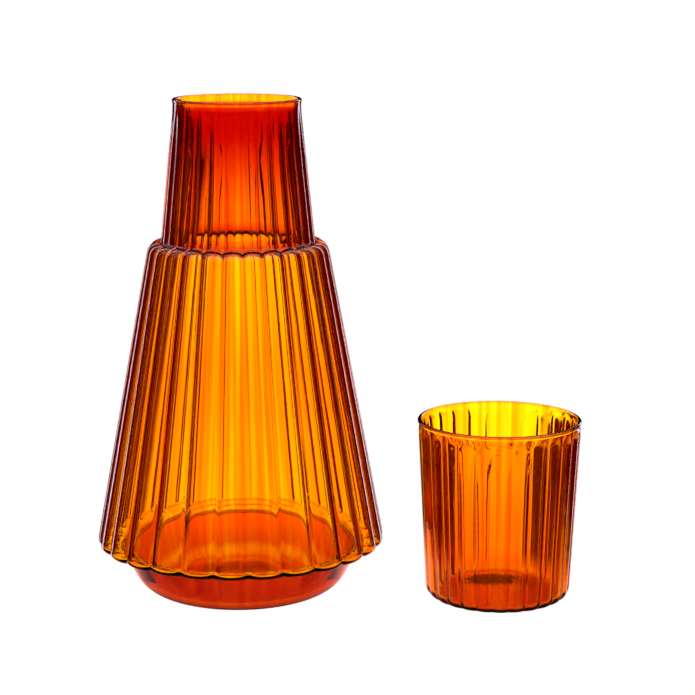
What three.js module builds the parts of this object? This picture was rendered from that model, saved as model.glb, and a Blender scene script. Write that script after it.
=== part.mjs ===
// A carafe and its tumbler in fluted amber glass, standing side by side.
// Millimetres, +Z up. The origin is on the table, in the middle of the pair's footprint.
// Turned upside down, the tumbler drops over the carafe's neck and covers its mouth.
import * as THREE from 'three';
import { mergeVertices } from 'three/addons/utils/BufferGeometryUtils.js';

// Flutes: rounded ribs that meet in narrow valleys, as many on the carafe as on the tumbler.
// Blown glass stretches thin on the crests, so the inner wall follows the flutes more deeply.
const fluteCount = 26;
const fluteFall = 2.6;
const innerFluteShare = 1.4;

// Carafe: the mouth and the neck.
const carafeHeight = 220;
const carafeWall = 1.6;
const mouthRadius = 28.2;
const lipThickness = 2;
const lipOverhang = 0.35;
const smoothMouthBand = 4;
const fluteFadeBand = 17;
const neckHeight = 62;
const neckRootRadius = 33.7;
const neckRootRise = 1;
const neckFluteDepth = 1;

// Carafe: the shoulder, the cone and its lower edge, which turns under.
const shoulderLedge = 0.5;
const shoulderRound = 6;
const shoulderFluteDepth = 1.3;
const hipRadius = 64.4;
const hipRound = 2.6;
const hipInnerRound = 1.4;
const hipFluteDepth = 1.8;
const hipOverhang = 9.5;

// Carafe: the plain cup under the cone, which it stands on.
const cupHeight = 21.4;
const cupFlare = 20.4;
const cupRound = 15;
const cupFloor = 3;
const cupWall = 1.5;
const cupJoinRound = 2.5;
const footBand = 6;
const puntRise = 2.5;

// Tumbler: turned over, it passes down the neck and clears the carafe's lip all round and above.
const coverClearance = 0.5;
const coverHeadroom = 16.3;
const coverSideRoom = 2.5;
const tumblerLip = 2;
const tumblerLipOverhang = 0.7;
const tumblerSmoothBand = 1.5;
const tumblerFluteStart = 2;
const tumblerFluteDepth = 1.2;
const tumblerWall = 1.4;
const tumblerBaseRound = 4.9;
const tumblerInnerRound = 3.1;
const tumblerFloor = 2.2;
const tumblerFootBand = 5;
const tumblerPuntRise = 1.6;

// How the two stand: the gap between them, the tumbler's step forward, and their turns in degrees.
const standGap = 14.3;
const tumblerForward = 12.4;
const carafeTurn = -1.2;
const tumblerTurn = -1;

// Facets: steps across one rib, round an outer edge, round an inner edge, over a lip and under the cone.
const stepsPerFlute = 4;
const outerSteps = 4;
const innerSteps = 3;
const lipSteps = 5;
const joinSteps = 2;
const puntSteps = 2;

// Sizes that follow from the ones above.
const shoulderHeight = carafeHeight - neckHeight;
const cupTopRadius = hipRadius - hipOverhang;
const footRadius = cupTopRadius - cupFlare;
const tumblerBore = Math.max(neckRootRadius, mouthRadius) + coverClearance;
const tumblerRimRadius = tumblerBore + tumblerLip;
const tumblerBaseRadius = mouthRadius + coverSideRoom + tumblerWall;
const tumblerHeight = neckHeight + coverHeadroom + tumblerFloor;
const span = 2 * (hipRadius + tumblerRimRadius) + standGap;

// How far the mean of a rib lies below its crest, as a share of the valley's depth.
const ribMeanShare = 1 / (fluteFall + 1);

const straightDown = -Math.PI / 2;
const straightUp = Math.PI / 2;

// One ring of a profile: its radius, its height and how deep the valleys of the flutes lie there.
function ring(r, z, depth = 0) {
  return { r, z, depth };
}

// Rings along a circle { r, z, radius }, between two angles measured up from the horizontal.
function arc(circle, from, to, steps, depthFrom = 0, depthTo = depthFrom) {
  const rings = [];
  for (let step = 0; step <= steps; step += 1) {
    const angle = THREE.MathUtils.lerp(from, to, step / steps);
    const depth = THREE.MathUtils.lerp(depthFrom, depthTo, step / steps);
    const r = circle.r + circle.radius * Math.cos(angle);
    const z = circle.z + circle.radius * Math.sin(angle);
    rings.push(ring(r, z, depth));
  }
  return rings;
}

// Angle of the outward normal of the straight wall that touches two circles on their outer side.
function wallAngle(lower, upper) {
  const inward = lower.r - upper.r;
  const rise = upper.z - lower.z;
  const turn = Math.asin((lower.radius - upper.radius) / Math.hypot(inward, rise));
  return Math.atan2(inward, rise) + turn;
}

// The side of a profile at each ring, square to the line between its neighbours.
function profileNormal(profile, index) {
  const before = profile[Math.max(index - 1, 0)];
  const after = profile[Math.min(index + 1, profile.length - 1)];
  return new THREE.Vector2(after.z - before.z, before.r - after.r).normalize();
}

// How far a point lies down the side of its rib: 0 on the crest and 1 in the valley.
function valleyShare(column) {
  const ribs = column / stepsPerFlute;
  const offCrest = 2 * Math.abs(ribs - Math.round(ribs));
  return offCrest ** fluteFall;
}

// A profile from the axis, round the glass and back to the axis, revolved and pressed into flutes.
function flutedGlass(profile) {
  const outline = profile.map(({ r, z }) => new THREE.Vector2(r, z));
  const lathe = new THREE.LatheGeometry(outline, fluteCount * stepsPerFlute);
  const position = lathe.getAttribute('position');
  const column = new THREE.Vector3();
  profile.forEach(({ r, z, depth }, index) => {
    const normal = profileNormal(profile, index);
    for (let step = 0; step <= fluteCount * stepsPerFlute; step += 1) {
      const cut = depth * valleyShare(step);
      const angle = (2 * Math.PI * step) / (fluteCount * stepsPerFlute);
      column.setFromCylindricalCoords(r - cut * normal.x, angle, z - cut * normal.y);
      position.setXYZ(step * profile.length + index, column.x, column.y, column.z);
    }
  });
  lathe.deleteAttribute('normal');
  lathe.deleteAttribute('uv');
  const solid = mergeVertices(lathe);
  solid.setIndex(withoutFlatFaces(solid.getIndex().array));
  solid.rotateX(Math.PI / 2);
  solid.computeVertexNormals();
  return solid;
}

// The rings that shrink to a point on the axis leave faces with two equal corners, which go.
function withoutFlatFaces(corners) {
  const kept = [];
  for (let face = 0; face < corners.length; face += 3) {
    const [a, b, c] = corners.slice(face, face + 3);
    if (a !== b && b !== c && c !== a) {
      kept.push(a, b, c);
    }
  }
  return kept;
}

// The underside: a shallow punt in the middle and a flat band that stands on the table.
function underside(radius, band, rise) {
  const puntEdge = radius - band;
  const domeRadius = (puntEdge ** 2 + rise ** 2) / (2 * rise);
  const dome = { r: 0, z: rise - domeRadius, radius: domeRadius };
  return [...arc(dome, straightUp, Math.acos(puntEdge / domeRadius), puntSteps), ring(radius, 0)];
}

// A rolled lip, from the foot of its outer side over the top to its inner side.
function lip(radius, height, thickness, overhang) {
  const circle = { r: radius - thickness / 2, z: height - thickness / 2, radius: thickness / 2 };
  const start = -Math.acos(1 - (2 * overhang) / thickness);
  return arc(circle, start, Math.PI, lipSteps);
}

// The rounded corner between a wall that leans out and the level glass that it carries.
function joinCorner(corner, wall, radius) {
  const reach = (radius * (1 + Math.sin(wall))) / Math.cos(wall);
  const circle = { r: corner.r + reach, z: corner.z - radius, radius };
  return arc(circle, wall + Math.PI, straightUp, joinSteps);
}

function carafeProfile() {
  const footRound = Math.min(cupRound, cupHeight, cupFlare);
  const foot = { r: footRadius, z: footRound, radius: footRound };
  const cupTop = { r: cupTopRadius, z: cupHeight, radius: 0 };
  const hip = { r: hipRadius - hipRound, z: cupHeight + hipRound, radius: hipRound };
  const shoulder = {
    r: neckRootRadius + shoulderLedge,
    z: shoulderHeight - shoulderRound,
    radius: shoulderRound,
  };
  const cone = wallAngle(hip, shoulder);
  const cupLean = wallAngle(foot, cupTop);
  const collarHeight = carafeHeight - lipThickness - smoothMouthBand;
  const collarRadius = mouthRadius - lipOverhang;
  const fadeHeight = collarHeight - fluteFadeBand;
  const neckTop = ring(collarRadius + neckFluteDepth * ribMeanShare, collarHeight);
  const neckShare = (fadeHeight - shoulderHeight) / (neckTop.z - shoulderHeight);
  const fadeRadius = THREE.MathUtils.lerp(neckRootRadius, neckTop.r, neckShare);

  const outside = [
    ...underside(footRadius, footBand, puntRise),
    ...arc(foot, straightDown, cupLean, outerSteps).slice(1),
    ...joinCorner(cupTop, cupLean, cupJoinRound),
    ...arc(hip, straightDown, cone, outerSteps, hipFluteDepth),
    ...arc(shoulder, cone, straightUp, outerSteps, shoulderFluteDepth, neckFluteDepth),
    ring(neckRootRadius, shoulderHeight + neckRootRise, neckFluteDepth),
    ring(fadeRadius, fadeHeight, neckFluteDepth),
    ring(collarRadius, collarHeight),
    ...lip(mouthRadius, carafeHeight, lipThickness, lipOverhang),
  ];

  const innerShoulder = { ...shoulder, radius: shoulderRound - carafeWall };
  const innerHip = {
    r: hipRadius - carafeWall - hipInnerRound,
    z: cupHeight + cupWall + hipInnerRound,
    radius: hipInnerRound,
  };
  const innerCup = { ...foot, radius: footRound - cupFloor };
  const innerCupTop = { r: cupTopRadius - cupWall, z: cupHeight + cupWall, radius: 0 };
  const innerCupLean = wallAngle(innerCup, innerCupTop);
  const innerCone = wallAngle(innerHip, innerShoulder);
  const shoulderCut = -innerFluteShare * shoulderFluteDepth;
  const neckCut = -innerFluteShare * neckFluteDepth;
  const hipCut = -innerFluteShare * hipFluteDepth;
  const neckInside = neckRootRadius - carafeWall;

  const inside = [
    ring(collarRadius - carafeWall, collarHeight),
    ring(fadeRadius - carafeWall, fadeHeight, neckCut),
    ring(neckInside, shoulderHeight, neckCut),
    ring(neckInside + carafeWall / 2, shoulderHeight - carafeWall, neckCut),
    ...arc(innerShoulder, straightUp, innerCone, innerSteps, neckCut, shoulderCut),
    ...arc(innerHip, innerCone, straightDown, innerSteps, hipCut),
    ...joinCorner(innerCupTop, innerCupLean, cupJoinRound + cupWall).reverse(),
    ...arc(innerCup, innerCupLean, straightDown, innerSteps),
    ring(0, puntRise + cupFloor),
  ];
  return [...outside, ...inside];
}

function tumblerProfile() {
  const edge = {
    r: tumblerBaseRadius - tumblerBaseRound,
    z: tumblerBaseRound,
    radius: tumblerBaseRound,
  };
  const collarRadius = tumblerRimRadius - tumblerLipOverhang;
  const collarHeight = tumblerHeight - tumblerLip - tumblerSmoothBand;
  const fluteTop = {
    r: collarRadius + tumblerFluteDepth * ribMeanShare,
    z: collarHeight - tumblerFluteStart,
    radius: 0,
  };
  const wall = wallAngle(edge, fluteTop);
  const outside = [
    ...underside(edge.r, tumblerFootBand, tumblerPuntRise),
    ...arc(edge, straightDown, wall, outerSteps, 0, tumblerFluteDepth).slice(1),
    ring(fluteTop.r, fluteTop.z, tumblerFluteDepth),
    ring(collarRadius, collarHeight),
    ...lip(tumblerRimRadius, tumblerHeight, tumblerLip, tumblerLipOverhang),
  ];

  const innerEdge = {
    r: tumblerBaseRadius - tumblerWall - tumblerInnerRound,
    z: tumblerFloor + tumblerInnerRound,
    radius: tumblerInnerRound,
  };
  const innerTop = { r: tumblerBore, z: fluteTop.z, radius: 0 };
  const cut = -innerFluteShare * tumblerFluteDepth;
  const inside = [
    ring(innerTop.r, innerTop.z),
    ...arc(innerEdge, wallAngle(innerEdge, innerTop), straightDown, innerSteps, cut, 0),
    ring(0, tumblerPuntRise + tumblerFloor),
  ];
  return [...outside, ...inside];
}

function amberGlass(color, opacity) {
  return new THREE.MeshStandardMaterial({
    color,
    roughness: 0.05,
    metalness: 0,
    transparent: true,
    opacity,
  });
}

const carafe = new THREE.Mesh(flutedGlass(carafeProfile()), amberGlass(0xd2600c, 0.6));
carafe.name = 'carafe';
carafe.position.x = hipRadius - span / 2;
carafe.rotation.z = THREE.MathUtils.degToRad(carafeTurn);

const tumbler = new THREE.Mesh(flutedGlass(tumblerProfile()), amberGlass(0xe6850f, 0.5));
tumbler.name = 'tumbler';
tumbler.position.set(span / 2 - tumblerRimRadius, -tumblerForward, 0);
tumbler.rotation.z = THREE.MathUtils.degToRad(tumblerTurn);

const carafeWithTumbler = new THREE.Group();
carafeWithTumbler.add(carafe, tumbler);

export default carafeWithTumbler;
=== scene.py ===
"""A carafe and its tumbler in fluted amber glass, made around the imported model, on a white table."""
import math
from collections import namedtuple

import bmesh
import bpy
from bpy.props import FloatProperty, FloatVectorProperty, IntProperty, PointerProperty
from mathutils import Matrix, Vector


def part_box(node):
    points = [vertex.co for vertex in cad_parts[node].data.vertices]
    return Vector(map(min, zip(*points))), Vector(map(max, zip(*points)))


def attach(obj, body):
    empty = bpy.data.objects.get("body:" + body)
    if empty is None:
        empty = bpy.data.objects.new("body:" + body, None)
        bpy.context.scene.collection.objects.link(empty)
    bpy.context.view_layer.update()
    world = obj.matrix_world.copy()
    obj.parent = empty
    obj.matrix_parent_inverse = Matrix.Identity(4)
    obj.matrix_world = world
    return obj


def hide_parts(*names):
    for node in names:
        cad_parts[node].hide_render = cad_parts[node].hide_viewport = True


bl_info = {
    "name": "Fluted carafe with tumbler",
    "version": (1, 0, 0),
    "blender": (4, 5, 0),
    "location": "View3D > Sidebar > Glassware",
    "description": "Blows a fluted amber carafe and its tumbler and sets them on a white table",
    "category": "Add Mesh",
}

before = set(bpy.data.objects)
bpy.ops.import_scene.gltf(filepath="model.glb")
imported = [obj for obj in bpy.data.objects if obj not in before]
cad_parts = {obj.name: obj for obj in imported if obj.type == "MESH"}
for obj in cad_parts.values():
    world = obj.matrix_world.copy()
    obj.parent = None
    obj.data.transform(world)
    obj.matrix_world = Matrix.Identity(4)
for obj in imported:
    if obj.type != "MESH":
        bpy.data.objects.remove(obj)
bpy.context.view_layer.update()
CARAFE_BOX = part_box("carafe")
TUMBLER_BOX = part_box("tumbler")

# Angles in a profile are measured up from the horizontal.
STRAIGHT_UP = math.pi / 2
STRAIGHT_DOWN = -math.pi / 2

# A rib is drawn by columns of points between its crest and the valley that it shares with the next rib.
COLUMNS_PER_FLUTE = 8
COLUMN_PLACES = (0.25, 0.5, 0.75, 1.0)

# Steps round an outer edge, round an inner edge, over a lip and round the corner under the cone.
OUTER_STEPS = 5
INNER_STEPS = 5
LIP_STEPS = 6
JOIN_STEPS = 3
SMOOTHING_LEVELS = 1

# How near a point lies to a ring that it is on, in metres, and to its column, as a share of half a rib.
PLACE_TOLERANCE = 0.00001
COLUMN_TOLERANCE = 0.1

# Where support rings lie on a straight wall, as shares of its length, so that smoothing keeps it straight.
WALL_SUPPORTS = (0.04, 0.5, 0.96)
NECK_SUPPORTS = (0.06, 0.9)
INNER_SUPPORTS = (0.0, 0.5, 0.96)

# Rings of the punt, as shares of the way down its dome, and rings of the floor above it, each as a share of
# the floor's radius and a share of the punt's rise.
PUNT_PLACES = (0.125, 0.5)
FLOOR_PLACES = ((0.5, 0.75), (0.125, 1.0))

# Streaks and ripples: the noise values between which a streak and its haze fade, and a streak's own ripple.
STREAK_FADE = (0.38, 0.6)
HAZE_FADE = (0.4, 0.7)
STREAK_RIPPLE = 0.3
STREAK_DETAIL = 3.0
WAVE_DETAIL = 1.0

# The painted shade under the tumbler, a dark mottled patch in place of the shade seen through its thick
# base:
# its middle, how its distances are stretched, the distance at which its specks fade, as a share of its size,
# and the level at which it ends, as a share of the tumbler's height.
SHADE_PATCH_MIDDLE = (-0.002, 0.012)
SHADE_PATCH_STRETCH = (0.65, 1, 0)
SHADE_PATCH_FADE = (1.0, 1.2)
SHADE_PATCH_LEVELS = (0.05, 0.065)
SHADE_PATCH_DETAIL = 2.0
SHADE_PATCH_ROUGHNESS = 0.8

# The rose light on the table grows along +Y, from its least share at one line to all of it at another.
ROSE_START = -0.04
ROSE_FULL = 0.04
ROSE_LEAST = 0.05

# Turns of the soft boxes and of the strip lights from +X, in degrees.
PANELS = (90, 180, -45)
STRIPS = (62, 128)

# The table lies a little below the feet, so that no two faces share a place.
FLOOR_DROP = -0.0002

# The camera of the photograph: metres, radians and millimetres.
CAMERA_PLACE = (0.00459, -0.88756, 0.28436)
CAMERA_TILT = math.radians(11.133)
CAMERA_LENS = 105.63
CAMERA_SENSOR = 36

WHITE = (1, 1, 1)

# A view line passes many walls of glass before it meets a light.
GLASS_BOUNCES = 32


def box_middle(box):
    """The middle of a box, seen from above."""
    low, high = box
    return (low[0] + high[0]) / 2, (low[1] + high[1]) / 2


def box_radius(box):
    """Half the width of a box."""
    low, high = box
    return (high[0] - low[0]) / 2


def box_height(box):
    """The height of a box."""
    low, high = box
    return high[2] - low[2]


def number(name, default, description):
    """A plain number."""
    return FloatProperty(name=name, description=description, default=default, min=0)


def length(name, default, description):
    """A length in metres, shown to a hundredth of a millimetre."""
    return FloatProperty(
        name=name, description=description, default=default, min=0, precision=5, unit="LENGTH"
    )


def share(name, default, description):
    """A number from 0 to 1, shown as a slider."""
    return FloatProperty(
        name=name, description=description, default=default, min=0, max=1, subtype="FACTOR"
    )


def turn(name, degrees, description):
    """An angle, shown in degrees."""
    return FloatProperty(
        name=name, description=description, default=math.radians(degrees), subtype="ANGLE"
    )


def colour(name, default, description):
    """A colour, shown as a swatch."""
    return FloatVectorProperty(
        name=name, description=description, default=default, size=3, min=0, max=1, subtype="COLOR"
    )


class FluteSettings(bpy.types.PropertyGroup):
    """The ribs that the carafe and the tumbler share."""

    count: IntProperty(name="Flutes", description="Ribs round each piece", default=26, min=3)
    inner_share: number("Inner share", 1.4, "How deeply the carafe's inner wall follows the flutes")
    crease: share("Crease", 1.0, "How sharply two ribs meet in a valley")
    fall: number("Fall", 2.6, "Power with which a rib falls away to a valley")


class CarafeSettings(bpy.types.PropertyGroup):
    """Sizes of the carafe, from its mouth down to its foot."""

    height: length("Height", box_height(CARAFE_BOX), "From the table to the rim")
    wall: length("Wall", 0.0016, "Thickness of the glass")
    mouth_radius: length("Mouth radius", 0.0282, "Outer radius of the lip")
    lip: length("Lip", 0.002, "Thickness of the rolled lip")
    lip_overhang: length("Lip overhang", 0.00035, "How far the lip stands out from the neck")
    smooth_band: length("Smooth band", 0.004, "Plain band under the lip")
    fade_band: length("Fade band", 0.017, "Band over which the flutes fade out below the plain band")
    neck_height: length("Neck height", 0.062, "From the shoulder to the rim")
    neck_root_radius: length("Neck root radius", 0.0337, "Radius where the neck meets the shoulder")
    neck_root_rise: length("Neck root rise", 0.001, "Height of the tight corner between shoulder and neck")
    neck_flute: length("Neck flute depth", 0.001, "Depth of the valleys on the neck")
    shoulder_ledge: length("Shoulder ledge", 0.0005, "Flat ledge round the neck's root")
    shoulder_round: length("Shoulder round", 0.006, "Radius of the rounded shoulder")
    shoulder_flute: length("Shoulder flute depth", 0.0013, "Depth of the valleys on the shoulder")
    hip_radius: length("Hip radius", box_radius(CARAFE_BOX), "Largest radius, at the foot of the cone")
    hip_round: length("Hip round", 0.0026, "Radius of the edge that turns under")
    hip_inner_round: length("Hip inner round", 0.0014, "Radius of that edge inside")
    cup_join: length("Cup join", 0.0025, "Radius of the corner where the cup meets the cone, outside")
    hip_flute: length("Hip flute depth", 0.0018, "Depth of the valleys at the foot of the cone")
    hip_under_flute: length("Hip underside depth", 0.0006, "Depth of the valleys under that edge")
    hip_overhang: length("Hip overhang", 0.0095, "How far the cone stands out over the cup")
    cup_height: length("Cup height", 0.0214, "Height of the plain cup under the cone")
    cup_flare: length("Cup flare", 0.0204, "How much wider the cup is at its top than at its foot")
    cup_round: length("Cup round", 0.015, "Radius of the bowl of the cup")
    cup_wall: length("Cup wall", 0.0015, "Thickness of the glass under the cone and in the cup")
    cup_floor: length("Cup floor", 0.003, "Thickness of the floor")
    foot_band: length("Foot band", 0.006, "Flat band that stands on the table")
    punt_rise: length("Punt rise", 0.0025, "Height of the hollow under the floor")
    facing: turn("Facing", -1.2, "Turn of the flutes about the carafe's axis")


class TumblerSettings(bpy.types.PropertyGroup):
    """Sizes of the tumbler."""

    height: length("Height", box_height(TUMBLER_BOX), "From the table to the rim")
    rim_radius: length("Rim radius", box_radius(TUMBLER_BOX), "Outer radius of the lip")
    base_radius: length("Base radius", 0.0321, "Radius of the wall above its lower edge")
    wall: length("Wall", 0.0014, "Thickness of the glass")
    lip: length("Lip", 0.002, "Thickness of the rolled lip")
    lip_overhang: length("Lip overhang", 0.0007, "How far the lip stands out from the wall")
    smooth_band: length("Smooth band", 0.0015, "Plain band under the lip")
    flute_start: length("Flute start", 0.002, "Band over which the flutes start")
    flute: length("Flute depth", 0.0012, "Depth of the valleys")
    inner_flute: length("Inner flute depth", 0.0014, "Depth of the valleys inside")
    base_round: length("Base round", 0.0049, "Radius of the lower edge")
    inner_round: length("Inner round", 0.0031, "Radius of the corner inside")
    floor: length("Floor", 0.0022, "Thickness of the floor")
    foot_band: length("Foot band", 0.005, "Flat band that stands on the table")
    punt_rise: length("Punt rise", 0.0016, "Height of the hollow under the floor")
    facing: turn("Facing", -1, "Turn of the flutes about the tumbler's axis")


class GlassSettings(bpy.types.PropertyGroup):
    """The amber glass: what its depth takes out of the light, the tint of each zone, some of which are
    painted shade, and the patch of painted shade under the tumbler.
    """

    depth_colour: colour("Depth colour", (0.972, 0.87, 0.0), "Colour that light takes on in a unit of depth")
    depth_density: number("Depth density", 2500, "How fast the depth colour builds up, per metre")
    bend: FloatProperty(name="Bend", description="Index of refraction", default=1.48, min=1, max=2)
    foot_tint: colour("Foot tint", (1.0, 0.8, 0.1), "Amber of the edge that stands on the table")
    floor_tint: colour("Floor tint", (1.0, 0.95, 0.1), "Clear amber of the floor of the cup")
    cup_tint: colour("Cup tint", (0.84, 0.36, 0.1), "Orange red of the cup's wall")
    # Painted shade: this tint paints a dark line round the carafe where the cup meets the cone.
    join_shade_tint: colour("Join tint", (0.06, 0.01, 0.01), "Dark line where the cup meets the cone")
    body_low_tint: colour("Body low tint", (1.0, 1.0, 0.1), "Yellow of the foot of the cone")
    body_tint: colour("Body tint", (1.0, 0.84, 0.1), "Amber of the middle of the cone")
    body_high_tint: colour("Body high tint", (1.0, 1.0, 0.1), "Yellow under the shoulder")
    # Painted shade: this tint paints a dark red band round the shoulder's ledge, where the neck meets the
    # shoulder.
    ledge_shade_tint: colour("Ledge tint", (0.6, 0.14, 0.1), "Red of the shoulder's ledge")
    root_tint: colour("Root tint", (0.8, 0.36, 0.1), "Orange red of the neck's root")
    neck_tint: colour("Neck tint", (0.88, 0.56, 0.1), "Orange of the lower neck")
    mouth_tint: colour("Mouth tint", (0.63, 0.06, 0.1), "Deep red below the mouth")
    lip_tint: colour("Lip tint", (0.92, 0.66, 0.15), "Orange of the lip")
    tumbler_tint: colour("Tumbler tint", (1.0, 0.84, 0.1), "Clear amber of the tumbler")
    tumbler_low_tint: colour("Tumbler low tint", (0.95, 0.58, 0.1), "Orange of the tumbler above its foot")
    tumbler_foot_tint: colour("Tumbler foot tint", (0.95, 0.75, 0.1), "Amber of the tumbler's lower edge")
    streak_tint: colour("Streak tint", (0.95, 0.58, 0.5), "Colour of the streaks that run down the glass")
    streak_scale: number("Streak scale", 12, "Streaks in a radian of the wall")
    streak_drift: number("Streak drift", 0.4, "How fast the streaks change with height")
    # Painted shade: a dark brown mottled patch under the tumbler's base that stands in for shade, not a real
    # mark.
    shade_patch_tint: colour("Mark tint", (0.3, 0.03, 0.01), "Brown of the rough mark under the tumbler")
    shade_patch_size: length("Mark size", 0.015, "How far that mark spreads")
    shade_patch_strength: share("Mark strength", 0.7, "How much that mark covers the glass")
    shade_patch_scale: number("Mark scale", 380, "Specks of that mark in a metre")
    wave_scale: number("Wave scale", 90, "Ripples of the wall in a metre")
    wave_depth: length("Wave depth", 0.00004, "Height of the ripples of the wall")
    haze: share("Haze", 0.002, "Roughness of the glass in its dullest streaks")


class StageSettings(bpy.types.PropertyGroup):
    """The table and the lights round it."""

    floor_size: length("Floor size", 6, "Side of the white table top")
    panel_width: turn("Panel width", 20, "How much of the horizon a soft box fills")
    panel_edge: turn("Panel edge", 2, "How softly a soft box or a strip light ends")
    through_brightness: number("Through brightness", 2.2, "Brightness of the soft boxes through the glass")
    gap_colour: colour("Gap colour", (0.15, 0.003, 0.006), "Dim light of the room between the soft boxes")
    table_brightness: number("Table brightness", 1.3, "Brightness of the table, seen steeply through glass")
    table_start: share("Table start", 0.285, "Fall of a view line that first meets the lit table")
    table_full: share("Table full", 0.34, "Fall of a view line that meets only the lit table")
    strip_width: turn("Strip width", 10, "How much of the horizon a strip light fills")
    strip_brightness: number("Strip brightness", 3.0, "Brightness of the mirrored strip lights")
    strip_low: share("Strip low", 0.45, "Fall of a mirrored view line that passes under the strip lights")
    strip_foot: share("Strip foot", 0.3, "Fall of a mirrored view line that meets the strip lights' foot")
    mirror_colour: colour("Mirror colour", (0.95, 0.85, 1.0), "Colour of the lights that the glass mirrors")
    overhead_start: share("Overhead start", 0.5, "Rise of a view line that first meets the light overhead")
    overhead_full: share("Overhead full", 0.7, "Rise of a view line that meets only that light")
    overhead_brightness: number("Overhead brightness", 0.6, "Brightness of the light overhead, mirrored")
    glow_colour: colour("Glow colour", (1.0, 0.36, 0.06), "Light that lies on the table under a foot")
    glow_brightness: number("Glow brightness", 0.92, "Brightness of that light")
    glow_reach: length("Glow reach", 0.012, "How far that light reaches past the foot")
    halo_colour: colour("Halo colour", (1.0, 1.0, 0.08), "Light that the glass throws on the table round it")
    halo_brightness: number("Halo brightness", 1.5, "Brightness of that light")
    halo_reach: length("Halo reach", 0.04, "How far that light reaches past the glass")
    rose_colour: colour("Rose colour", (1.0, 0.3, 0.25), "Light on the table that the glass mirrors")
    rose_brightness: number("Rose brightness", 3.0, "Brightness of that light")


# Profiles

# A ring of a profile, with the depth of the flutes' valleys there, and a circle that rings lie on.
Ring = namedtuple("Ring", "radius height depth", defaults=(0.0,))
Circle = namedtuple("Circle", "radius height bend")


def blend(start, end, place):
    """The value a share of the way from start to end."""
    return start + (end - start) * place


def ring_on(circle, angle, depth=0.0):
    """The ring at one angle of a circle."""
    radius = circle.radius + circle.bend * math.cos(angle)
    height = circle.height + circle.bend * math.sin(angle)
    return Ring(radius, height, depth)


def arc(circle, start, end, steps, depth=0.0, end_depth=0.0):
    """Rings along a circle, from one angle to another."""
    places = [step / steps for step in range(steps + 1)]
    return [ring_on(circle, blend(start, end, place), blend(depth, end_depth, place)) for place in places]


def straight_wall(start, end, places=WALL_SUPPORTS):
    """Support rings on the straight wall between two rings."""
    return [Ring(*(blend(a, b, place) for a, b in zip(start, end))) for place in places]


def wall_angle(lower, upper):
    """Angle of the outward normal of the straight wall that touches two circles on their outer side."""
    inward = lower.radius - upper.radius
    rise = upper.height - lower.height
    lean = math.asin((lower.bend - upper.bend) / math.hypot(inward, rise))
    return math.atan2(inward, rise) + lean


def rib_mean(flutes):
    """How far the mean of a rib lies below its crest, as a share of the valley's depth."""
    return 1 / (flutes.fall + 1)


def profile_side(profile, index):
    """The side of a profile at one ring, square to the line between its neighbours."""
    before = profile[max(index - 1, 0)]
    after = profile[min(index + 1, len(profile) - 1)]
    across = after.height - before.height
    along = before.radius - after.radius
    size = math.hypot(across, along)
    return across / size, along / size


def underside(radius, band, rise):
    """A shallow punt in the middle and a flat band that stands on the table."""
    edge = radius - band
    dome_bend = (edge**2 + rise**2) / (2 * rise)
    dome = Circle(0, rise - dome_bend, dome_bend)
    rim = math.acos(edge / dome_bend)
    punt = [ring_on(dome, blend(STRAIGHT_UP, rim, place)) for place in PUNT_PLACES]
    return punt + [Ring(edge, 0), Ring(radius - band / 2, 0), Ring(radius, 0)]


def inner_floor(radius, height, rise):
    """The floor inside, which the punt lifts a little in the middle."""
    return [Ring(radius * out, height + rise * lift) for out, lift in FLOOR_PLACES]


def rolled_lip(radius, height, thickness, overhang):
    """A round lip, from the foot of its outer side over the top to its inner side."""
    circle = Circle(radius - thickness / 2, height - thickness / 2, thickness / 2)
    return arc(circle, -math.acos(1 - 2 * overhang / thickness), math.pi, LIP_STEPS)


def hollow_corner(corner, wall, bend):
    """Rings round the corner between a wall that leans out and the level glass that it carries."""
    reach = bend * (1 + math.sin(wall)) / math.cos(wall)
    circle = Circle(corner.radius + reach, corner.height - bend, bend)
    return arc(circle, wall + math.pi, STRAIGHT_UP, JOIN_STEPS)


def carafe_foot(sizes):
    """Radius of the band that the carafe stands on."""
    return sizes.hip_radius - sizes.hip_overhang - sizes.cup_flare


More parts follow.
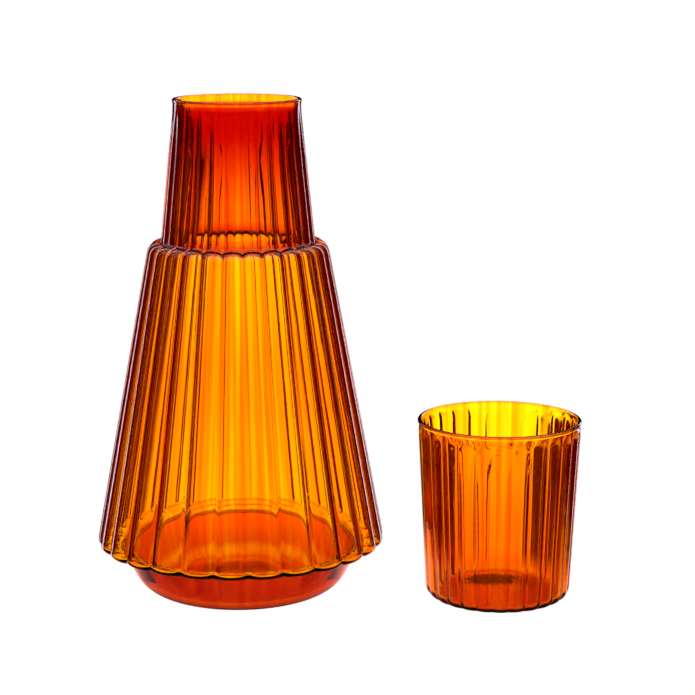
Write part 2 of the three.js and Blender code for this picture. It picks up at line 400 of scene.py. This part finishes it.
def carafe_profile(sizes, flutes):
    """From the middle of the underside, round the outside, over the lip and down the inside."""
    foot_radius = carafe_foot(sizes)
    shoulder_height = sizes.height - sizes.neck_height
    foot = Circle(foot_radius, sizes.cup_round, sizes.cup_round)
    cup_top = Circle(sizes.hip_radius - sizes.hip_overhang, sizes.cup_height, 0)
    hip = Circle(sizes.hip_radius - sizes.hip_round, sizes.cup_height + sizes.hip_round, sizes.hip_round)
    shoulder = Circle(
        sizes.neck_root_radius + sizes.shoulder_ledge,
        shoulder_height - sizes.shoulder_round,
        sizes.shoulder_round,
    )
    cone = wall_angle(hip, shoulder)
    cup_angle = wall_angle(foot, cup_top)
    collar_height = sizes.height - sizes.lip - sizes.smooth_band
    collar_radius = sizes.mouth_radius - sizes.lip_overhang
    fade_height = collar_height - sizes.fade_band
    neck_top = collar_radius + sizes.neck_flute * rib_mean(flutes)
    neck_share = (fade_height - shoulder_height) / (collar_height - shoulder_height)
    fade_radius = blend(sizes.neck_root_radius, neck_top, neck_share)

    hip_rings = arc(hip, STRAIGHT_DOWN, cone, OUTER_STEPS, sizes.hip_under_flute, sizes.hip_flute)
    shoulder_rings = arc(shoulder, cone, STRAIGHT_UP, OUTER_STEPS, sizes.shoulder_flute, sizes.neck_flute)
    neck_root = Ring(sizes.neck_root_radius, shoulder_height + sizes.neck_root_rise, sizes.neck_flute)
    neck_fade = Ring(fade_radius, fade_height, sizes.neck_flute)
    outside = [
        *underside(foot_radius, sizes.foot_band, sizes.punt_rise),
        *arc(foot, STRAIGHT_DOWN, cup_angle, OUTER_STEPS)[1:],
        *hollow_corner(cup_top, cup_angle, sizes.cup_join),
        *hip_rings,
        *straight_wall(hip_rings[-1], shoulder_rings[0]),
        *shoulder_rings,
        neck_root,
        *straight_wall(neck_root, neck_fade, NECK_SUPPORTS),
        neck_fade,
        Ring(collar_radius, collar_height),
        *rolled_lip(sizes.mouth_radius, sizes.height, sizes.lip, sizes.lip_overhang),
    ]

    inner_shoulder = shoulder._replace(bend=sizes.shoulder_round - sizes.wall)
    inner_hip = Circle(
        sizes.hip_radius - sizes.wall - sizes.hip_inner_round,
        sizes.cup_height + sizes.cup_wall + sizes.hip_inner_round,
        sizes.hip_inner_round,
    )
    inner_cup = foot._replace(bend=sizes.cup_round - sizes.cup_floor)
    inner_cup_top = Circle(cup_top.radius - sizes.cup_wall, cup_top.height + sizes.cup_wall, 0)
    inner_cup_angle = wall_angle(inner_cup, inner_cup_top)
    join_rings = hollow_corner(inner_cup_top, inner_cup_angle, sizes.cup_join + sizes.cup_wall)
    inner_cone = wall_angle(inner_hip, inner_shoulder)
    follow = -flutes.inner_share
    inner_neck_flute = follow * sizes.neck_flute
    inner_shoulder_flute = follow * sizes.shoulder_flute
    inner_hip_flute = follow * sizes.hip_flute
    inner_under_flute = follow * sizes.hip_under_flute
    neck_inside = sizes.neck_root_radius - sizes.wall
    inner_shoulder_rings = arc(
        inner_shoulder, STRAIGHT_UP, inner_cone, INNER_STEPS, inner_neck_flute, inner_shoulder_flute
    )
    inner_hip_rings = arc(
        inner_hip, inner_cone, STRAIGHT_DOWN, INNER_STEPS, inner_hip_flute, inner_under_flute
    )
    inside = [
        Ring(collar_radius - sizes.wall, collar_height),
        Ring(fade_radius - sizes.wall, fade_height, inner_neck_flute),
        Ring(neck_inside, shoulder_height, inner_neck_flute),
        Ring(neck_inside + sizes.wall / 2, shoulder_height - sizes.wall, inner_neck_flute),
        *inner_shoulder_rings,
        *straight_wall(inner_shoulder_rings[-1], inner_hip_rings[0]),
        *inner_hip_rings,
        *reversed(join_rings),
        *arc(inner_cup, inner_cup_angle, STRAIGHT_DOWN, INNER_STEPS),
        *inner_floor(foot_radius, sizes.cup_floor, sizes.punt_rise),
    ]
    return outside + inside


def tumbler_edge(sizes):
    """The circle of the tumbler's lower edge, above the foot."""
    return Circle(sizes.base_radius - sizes.base_round, sizes.base_round, sizes.base_round)


def tumbler_profile(sizes, flutes):
    """From the middle of the underside, round the outside, over the lip and down the inside."""
    edge = tumbler_edge(sizes)
    collar_radius = sizes.rim_radius - sizes.lip_overhang
    collar_height = sizes.height - sizes.lip - sizes.smooth_band
    flute_top = Circle(collar_radius + sizes.flute * rib_mean(flutes), collar_height - sizes.flute_start, 0)
    edge_rings = arc(edge, STRAIGHT_DOWN, wall_angle(edge, flute_top), OUTER_STEPS, 0, sizes.flute)
    wall_top = Ring(flute_top.radius, flute_top.height, sizes.flute)
    outside = [
        *underside(edge.radius, sizes.foot_band, sizes.punt_rise),
        *edge_rings[1:],
        *straight_wall(edge_rings[-1], wall_top),
        wall_top,
        Ring(collar_radius, collar_height),
        *rolled_lip(sizes.rim_radius, sizes.height, sizes.lip, sizes.lip_overhang),
    ]

    inner_edge = Circle(
        sizes.base_radius - sizes.wall - sizes.inner_round,
        sizes.floor + sizes.inner_round,
        sizes.inner_round,
    )
    inner_top = Circle(sizes.rim_radius - sizes.lip, sizes.height - sizes.lip, 0)
    follow = -sizes.inner_flute
    inner_rings = arc(inner_edge, wall_angle(inner_edge, inner_top), STRAIGHT_DOWN, INNER_STEPS, follow, 0)
    inner_wall_top = Ring(inner_top.radius, inner_top.height)
    start = (inner_top.height - flute_top.height) / (inner_top.height - inner_rings[0].height)
    inner_flute_top = straight_wall(inner_wall_top, inner_rings[0], (start,))[0]._replace(depth=follow)
    inside = [
        inner_wall_top,
        *straight_wall(inner_flute_top, inner_rings[0], INNER_SUPPORTS),
        *inner_rings,
        *inner_floor(inner_edge.radius, sizes.floor, sizes.punt_rise),
    ]
    return outside + inside


# Glass blowing

def deselect_all():
    """Leaves edit mode and deselects every object."""
    if bpy.context.mode != "OBJECT":
        bpy.ops.object.mode_set(mode="OBJECT")
    bpy.ops.object.select_all(action="DESELECT")


def off_crest(place, flutes):
    """How far round its rib a point lies: 0 on the crest and 1 in the valley."""
    ribs = math.atan2(place.x, place.y) / (2 * math.pi) * flutes.count
    return 2 * abs(ribs - round(ribs))


def on_ring(place, ring):
    """Whether a point lies on a ring that is still plain."""
    near = abs(math.hypot(place.x, place.y) - ring.radius) < PLACE_TOLERANCE
    return near and abs(place.z - ring.height) < PLACE_TOLERANCE


def select_points(piece, wanted):
    """Selects the points of a mesh in edit mode whose place the function wanted accepts."""
    bpy.ops.mesh.select_all(action="DESELECT")
    mesh = bmesh.from_edit_mesh(piece.data)
    for point in mesh.verts:
        point.select = wanted(point.co)
    mesh.select_flush(True)
    bmesh.update_edit_mesh(piece.data)


def pull_ring(before, ring):
    """Extrudes the selected ring to the next height and radius of the profile."""
    bpy.ops.mesh.extrude_edges_move(TRANSFORM_OT_translate={"value": (0, 0, ring.height - before.height)})
    grow = ring.radius / before.radius
    bpy.ops.transform.resize(value=(grow, grow, 1), center_override=(0, 0, ring.height))


def close_ring(piece, ring):
    """Closes the hole that the first or the last ring leaves on the axis."""
    select_points(piece, lambda place: on_ring(place, ring))
    bpy.ops.mesh.edge_face_add()


def crease_valleys(piece, profile, flutes):
    """Creases the lines along which two ribs meet."""
    fluted = [ring for ring in profile if ring.depth > 0]

    def in_valley(place):
        valley = off_crest(place, flutes) > 1 - COLUMN_TOLERANCE
        return valley and any(on_ring(place, ring) for ring in fluted)

    select_points(piece, in_valley)
    bpy.ops.transform.edge_crease(value=flutes.crease)


def press_flutes(piece, profile, flutes):
    """Presses the flanks and the valleys into each fluted ring, square to the profile."""
    for index, ring in enumerate(profile):
        if ring.depth == 0:
            continue
        across, along = profile_side(profile, index)
        for place_in_rib in COLUMN_PLACES:

            def on_column(place):
                column = abs(off_crest(place, flutes) - place_in_rib) < COLUMN_TOLERANCE
                return column and on_ring(place, ring)

            cut = ring.depth * place_in_rib**flutes.fall
            shrink = (ring.radius - cut * across) / ring.radius
            select_points(piece, on_column)
            bpy.ops.transform.resize(value=(shrink, shrink, 1), center_override=(0, 0, ring.height))
            bpy.ops.transform.translate(value=(0, 0, -cut * along))


def blow_glass(name, profile, flutes, box, facing):
    """Pulls a profile up ring by ring, presses the flutes, smooths the glass and sets it in its place."""
    deselect_all()
    first = profile[0]
    bpy.ops.mesh.primitive_circle_add(
        vertices=flutes.count * COLUMNS_PER_FLUTE, radius=first.radius, location=(0, 0, first.height)
    )
    piece = bpy.context.object
    piece.name = name
    piece.data.name = name
    bpy.ops.object.transform_apply(location=True)
    bpy.ops.object.mode_set(mode="EDIT")
    for before, ring in zip(profile, profile[1:]):
        pull_ring(before, ring)
    close_ring(piece, profile[-1])
    close_ring(piece, first)
    crease_valleys(piece, profile, flutes)
    press_flutes(piece, profile, flutes)
    bpy.ops.mesh.select_all(action="SELECT")
    bpy.ops.mesh.normals_make_consistent(inside=False)
    bpy.ops.object.mode_set(mode="OBJECT")
    smoothing = piece.modifiers.new("smoothing", "SUBSURF")
    smoothing.levels = SMOOTHING_LEVELS
    smoothing.render_levels = SMOOTHING_LEVELS
    smoothing.use_limit_surface = False
    bpy.ops.object.modifier_apply(modifier=smoothing.name)
    bpy.ops.object.shade_smooth()
    piece.rotation_euler.z = facing
    piece.location = (*box_middle(box), 0)
    bpy.ops.object.transform_apply(location=True, rotation=True, scale=True)
    return piece


# Materials

class Value:
    """A shader socket that takes part in sums: each operator adds one Math node."""

    def __init__(self, shader, socket):
        self.shader = shader
        self.socket = socket

    def combine(self, operation, first, second):
        return self.shader.add("ShaderNodeMath", {"operation": operation}, {0: first, 1: second})

    def __add__(self, other):
        return self.combine("ADD", self, other)

    __radd__ = __add__

    def __sub__(self, other):
        return self.combine("SUBTRACT", self, other)

    def __rsub__(self, other):
        return self.combine("SUBTRACT", other, self)

    def __mul__(self, other):
        return self.combine("MULTIPLY", self, other)

    __rmul__ = __mul__

    def __truediv__(self, other):
        return self.combine("DIVIDE", self, other)

    def __rtruediv__(self, other):
        return self.combine("DIVIDE", other, self)


class Shader:
    """One node tree, cleared and filled through a single method."""

    def __init__(self, tree):
        self.tree = tree
        tree.nodes.clear()

    def add(self, kind, settings=None, sockets=None, output=0):
        """Adds a node, sets it up, feeds its sockets and returns one of its outputs."""
        node = self.tree.nodes.new(kind)
        for name, value in (settings or {}).items():
            if name == "stops":
                self.set_stops(node.color_ramp, value)
            else:
                setattr(node, name, value)
        for key, value in (sockets or {}).items():
            if isinstance(value, Value):
                self.tree.links.new(value.socket, node.inputs[key])
            else:
                node.inputs[key].default_value = value
        return Value(self, node.outputs[output]) if len(node.outputs) else None

    @staticmethod
    def set_stops(ramp, stops):
        """Gives a colour ramp its stops, each a position and a colour."""
        while len(ramp.elements) < len(stops):
            ramp.elements.new(1)
        for element, (position, shade) in zip(ramp.elements, stops):
            element.position = position
            element.color = (*shade, 1)


def smooth_step(shader, value, start, end, low, high):
    """A value that goes softly from low to high while another goes from start to end."""
    return shader.add(
        "ShaderNodeMapRange",
        {"interpolation_type": "SMOOTHSTEP"},
        {"Value": value, "From Min": start, "From Max": end, "To Min": low, "To Max": high},
    )


def mix_shaders(shader, factor, first, second):
    """One surface that gives way to another as a factor goes from 0 to 1."""
    return shader.add("ShaderNodeMixShader", {}, {0: factor, 1: first, 2: second})


def by_ray(shader, through, mirrored, seen):
    """A surface that looks different through the glass, mirrored in it and straight from the camera."""
    is_mirrored = shader.add("ShaderNodeLightPath", output="Is Reflection Ray")
    is_seen = shader.add("ShaderNodeLightPath", output="Is Camera Ray")
    return mix_shaders(shader, is_seen, mix_shaders(shader, is_mirrored, through, mirrored), seen)


def amber_glass(name, settings, box, tints, shade_patch_middle=None):
    """Clear amber glass, coloured by its depth, by tints that change with height and by streaks; some tints
    are painted shade, and a patch of painted shade can lie under its base.
    """
    material = bpy.data.materials.new(name)
    material.use_nodes = True
    shader = Shader(material.node_tree)

    def vectors(operation, *values):
        return shader.add("ShaderNodeVectorMath", {"operation": operation}, dict(enumerate(values)))

    place = shader.add("ShaderNodeTexCoord", output="Object")
    place = vectors("SUBTRACT", place, (*box_middle(box), 0))
    level = shader.add("ShaderNodeSeparateXYZ", {}, {0: place}, output="Z") / box_height(box)
    bearing = vectors("NORMALIZE", vectors("MULTIPLY", place, (1, 1, 0)))
    drawn = vectors("MULTIPLY_ADD", place, (0, 0, settings.streak_drift), bearing)

    def noise(vector, scale, detail):
        return shader.add("ShaderNodeTexNoise", {}, {"Vector": vector, "Scale": scale, "Detail": detail})

    streaks = noise(drawn, settings.streak_scale, STREAK_DETAIL)
    waves = noise(place, settings.wave_scale, WAVE_DETAIL)
    streak_tints = tuple(zip(STREAK_FADE, (settings.streak_tint, WHITE)))
    tint = vectors(
        "MULTIPLY",
        shader.add("ShaderNodeValToRGB", {"stops": tints}, {0: level}),
        shader.add("ShaderNodeValToRGB", {"stops": streak_tints}, {0: streaks}),
    )
    relief = waves + streaks * STREAK_RIPPLE
    ripple = shader.add("ShaderNodeBump", {}, {"Distance": settings.wave_depth, "Height": relief})
    surface = shader.add(
        "ShaderNodeBsdfPrincipled",
        {},
        {
            "Base Color": tint,
            "Roughness": smooth_step(shader, streaks, *HAZE_FADE, settings.haze, 0.0),
            "IOR": settings.bend,
            "Transmission Weight": 1.0,
            "Normal": ripple,
        },
    )
    # Painted shade: a dark, rough, mottled patch laid over the glass near the foot, in place of the shade
    # seen through the base.
    if shade_patch_middle:
        spread = vectors("MULTIPLY", vectors("SUBTRACT", place, (*shade_patch_middle, 0)), SHADE_PATCH_STRETCH)
        reach = shader.add("ShaderNodeVectorMath", {"operation": "LENGTH"}, {0: spread}, "Value")
        edge = reach / settings.shade_patch_size + noise(place, settings.shade_patch_scale, SHADE_PATCH_DETAIL)
        under = smooth_step(shader, level, *SHADE_PATCH_LEVELS, settings.shade_patch_strength, 0.0)
        shade_patch_cover = under * smooth_step(shader, edge, *SHADE_PATCH_FADE, 1.0, 0.0)
        painted_shade = shader.add(
            "ShaderNodeBsdfPrincipled",
            {},
            {
                "Base Color": (*settings.shade_patch_tint, 1),
                "Roughness": SHADE_PATCH_ROUGHNESS,
                "Specular IOR Level": 0.0,
            },
        )
        surface = mix_shaders(shader, shade_patch_cover, surface, painted_shade)
    depth = shader.add(
        "ShaderNodeVolumeAbsorption",
        {},
        {"Color": (*settings.depth_colour, 1), "Density": settings.depth_density},
    )
    shader.add("ShaderNodeOutputMaterial", {}, {"Surface": surface, "Volume": depth})
    return material


def white_table(name, settings, feet):
    """A white table top. To the glass it is clear, but for the light that lies on it round each foot."""
    material = bpy.data.materials.new(name)
    material.use_nodes = True
    shader = Shader(material.node_tree)
    place = shader.add("ShaderNodeTexCoord", output="Object")
    clear = shader.add("ShaderNodeBsdfTransparent")

    def light(shade, strength):
        return shader.add("ShaderNodeEmission", {}, {"Color": (*shade, 1), "Strength": strength})

    glow = light(settings.glow_colour, settings.glow_brightness)
    halo = light(settings.halo_colour, settings.halo_brightness)
    rose = light(settings.rose_colour, settings.rose_brightness)
    surface = clear
    near = 0.0
    for box, foot in feet:
        middle = (*box_middle(box), FLOOR_DROP)
        edge = box_radius(box)
        off_axis = shader.add(
            "ShaderNodeVectorMath", {"operation": "DISTANCE"}, {0: place, 1: middle}, "Value"
        )
        round_it = smooth_step(shader, off_axis, edge, edge + settings.halo_reach, 1.0, 0.0)
        under = smooth_step(shader, off_axis, foot, foot + settings.glow_reach, 1.0, 0.0)
        near = round_it + near
        surface = mix_shaders(shader, round_it, surface, halo)
        surface = mix_shaders(shader, under, surface, glow)
    north = shader.add("ShaderNodeSeparateXYZ", {}, {0: place}, "Y")
    behind = smooth_step(shader, north, ROSE_START, ROSE_FULL, ROSE_LEAST, 1.0)
    mirrored = mix_shaders(shader, behind * near, clear, rose)
    surface = by_ray(shader, surface, mirrored, light(WHITE, 1.0))
    shader.add("ShaderNodeOutputMaterial", {}, {"Surface": surface})
    return material


def soft_boxes(world, settings):
    """Soft boxes shine through the glass, strip lights are mirrored in it, and the camera sees white."""
    world.use_nodes = True
    shader = Shader(world.node_tree)
    direction = shader.add("ShaderNodeTexCoord", output="Generated")
    east = shader.add("ShaderNodeSeparateXYZ", {}, {0: direction}, "X")
    north = shader.add("ShaderNodeSeparateXYZ", {}, {0: direction}, "Y")
    rise = shader.add("ShaderNodeSeparateXYZ", {}, {0: direction}, "Z")

    def panel(bearing, width):
        """How much of a view line meets a light that fills part of the horizon."""
        along = east * math.cos(bearing) + north * math.sin(bearing)
        across = north * math.cos(bearing) - east * math.sin(bearing)
        aside = shader.add("ShaderNodeMath", {"operation": "ARCTAN2"}, {0: across, 1: along})
        aside = shader.add("ShaderNodeMath", {"operation": "ABSOLUTE"}, {0: aside})
        half = width / 2
        return smooth_step(shader, aside, half - settings.panel_edge, half + settings.panel_edge, 1.0, 0.0)

    panels = sum(panel(math.radians(degrees), settings.panel_width) for degrees in PANELS)
    strips = sum(panel(math.radians(degrees), settings.strip_width) for degrees in STRIPS)
    strips = strips * smooth_step(shader, rise, -settings.strip_low, -settings.strip_foot, 0.0, 1.0)
    table = smooth_step(shader, rise, -settings.table_full, -settings.table_start, 1.0, 0.0)
    through = panels * (1 - table) * settings.through_brightness + settings.table_brightness * table
    overhead = smooth_step(shader, rise, settings.overhead_start, settings.overhead_full, 0.0, 1.0)

    def light(shade, strength):
        return shader.add("ShaderNodeBackground", {}, {"Color": (*shade, 1), "Strength": strength})

    gaps = light(settings.gap_colour, 1.0)
    room = shader.add("ShaderNodeAddShader", {}, {0: light(WHITE, through), 1: gaps})
    mirrored = strips * settings.strip_brightness + overhead * settings.overhead_brightness
    surface = by_ray(shader, room, light(settings.mirror_colour, mirrored), light(WHITE, 1.0))
    shader.add("ShaderNodeOutputWorld", {}, {"Surface": surface})


# Operators

class GLASSWARE_OT_carafe(bpy.types.Operator):
    """Blow the carafe"""

    bl_idname = "glassware.carafe"
    bl_label = "Carafe"

    def execute(self, context):
        scene = context.scene
        sizes = scene.carafe_sizes
        profile = carafe_profile(sizes, scene.flute_sizes)
        carafe = blow_glass("carafe_glass", profile, scene.flute_sizes, CARAFE_BOX, sizes.facing)
        look = scene.glass_look
        # The height as a share of the carafe's, and the tint there.
        tints = (
            (0.0, look.foot_tint),
            (0.01, look.foot_tint),
            (0.014, look.floor_tint),
            (0.024, look.floor_tint),
            (0.03, look.cup_tint),
            (0.086, look.cup_tint),
            # Painted shade: a thin dark band where the cup meets the cone.
            (0.0885, look.join_shade_tint),
            (0.091, look.join_shade_tint),
            (0.094, look.body_low_tint),
            (0.26, look.body_low_tint),
            (0.42, look.body_tint),
            (0.6, look.body_high_tint),
            (0.71, look.body_high_tint),
            # Painted shade: a dark red band round the shoulder's ledge.
            (0.716, look.ledge_shade_tint),
            (0.722, look.ledge_shade_tint),
            (0.73, look.root_tint),
            (0.734, look.root_tint),
            (0.738, look.neck_tint),
            (0.8, look.neck_tint),
            (0.93, look.mouth_tint),
            (0.981, look.mouth_tint),
            (0.986, look.lip_tint),
        )
        carafe.data.materials.append(amber_glass("carafe_amber", look, CARAFE_BOX, tints))
        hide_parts("carafe")
        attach(carafe, "carafe")
        return {"FINISHED"}


class GLASSWARE_OT_tumbler(bpy.types.Operator):
    """Blow the tumbler"""

    bl_idname = "glassware.tumbler"
    bl_label = "Tumbler"

    def execute(self, context):
        scene = context.scene
        sizes = scene.tumbler_sizes
        profile = tumbler_profile(sizes, scene.flute_sizes)
        tumbler = blow_glass("tumbler_glass", profile, scene.flute_sizes, TUMBLER_BOX, sizes.facing)
        look = scene.glass_look
        # The height as a share of the tumbler's, and the tint there.
        tints = (
            (0.0, look.tumbler_foot_tint),
            (0.035, look.tumbler_foot_tint),
            (0.06, look.tumbler_low_tint),
            (0.3, look.tumbler_low_tint),
            (0.75, look.tumbler_tint),
        )
        # The tumbler's glass carries the patch of painted shade under its base.
        amber = amber_glass("tumbler_amber", look, TUMBLER_BOX, tints, SHADE_PATCH_MIDDLE)
        tumbler.data.materials.append(amber)
        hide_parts("tumbler")
        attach(tumbler, "tumbler")
        return {"FINISHED"}


class GLASSWARE_OT_stage(bpy.types.Operator):
    """Lay the white table, light it and set up the camera"""

    bl_idname = "glassware.stage"
    bl_label = "Stage"

    def execute(self, context):
        scene = context.scene
        settings = scene.stage_look
        deselect_all()
        bpy.ops.mesh.primitive_plane_add(size=settings.floor_size, location=(0, 0, FLOOR_DROP))
        table = context.object
        table.name = "white_table"
        bpy.ops.object.transform_apply(location=True)
        carafe_radius = carafe_foot(scene.carafe_sizes)
        tumbler_radius = tumbler_edge(scene.tumbler_sizes).radius
        feet = ((CARAFE_BOX, carafe_radius), (TUMBLER_BOX, tumbler_radius))
        table.data.materials.append(white_table("white_table", settings, feet))
        scene.world = bpy.data.worlds.new("studio")
        soft_boxes(scene.world, settings)
        deselect_all()
        bpy.ops.object.camera_add(location=CAMERA_PLACE, rotation=(STRAIGHT_UP - CAMERA_TILT, 0, 0))
        camera = context.object
        camera.data.lens = CAMERA_LENS
        camera.data.sensor_width = CAMERA_SENSOR
        scene.camera = camera
        scene.view_settings.view_transform = "Standard"
        scene.cycles.max_bounces = GLASS_BOUNCES
        scene.cycles.transmission_bounces = GLASS_BOUNCES
        scene.cycles.glossy_bounces = GLASS_BOUNCES
        scene.cycles.transparent_max_bounces = GLASS_BOUNCES
        return {"FINISHED"}


class GLASSWARE_PT_panel(bpy.types.Panel):
    """Lists the pieces in the sidebar"""

    bl_idname = "GLASSWARE_PT_panel"
    bl_label = "Glassware"
    bl_space_type = "VIEW_3D"
    bl_region_type = "UI"
    bl_category = "Glassware"

    def draw(self, context):
        for operator in OPERATORS:
            self.layout.operator(operator.bl_idname)


SETTINGS = {
    "flute_sizes": FluteSettings,
    "carafe_sizes": CarafeSettings,
    "tumbler_sizes": TumblerSettings,
    "glass_look": GlassSettings,
    "stage_look": StageSettings,
}
OPERATORS = (GLASSWARE_OT_carafe, GLASSWARE_OT_tumbler, GLASSWARE_OT_stage)


def register():
    for kind in (*SETTINGS.values(), *OPERATORS, GLASSWARE_PT_panel):
        bpy.utils.register_class(kind)
    for name, kind in SETTINGS.items():
        setattr(bpy.types.Scene, name, PointerProperty(type=kind))


def unregister():
    for name in SETTINGS:
        delattr(bpy.types.Scene, name)
    for kind in (GLASSWARE_PT_panel, *reversed(OPERATORS), *reversed(SETTINGS.values())):
        bpy.utils.unregister_class(kind)


def main():
    register()
    bpy.ops.glassware.carafe()
    bpy.ops.glassware.tumbler()
    bpy.ops.glassware.stage()


if __name__ == "__main__":
    main()
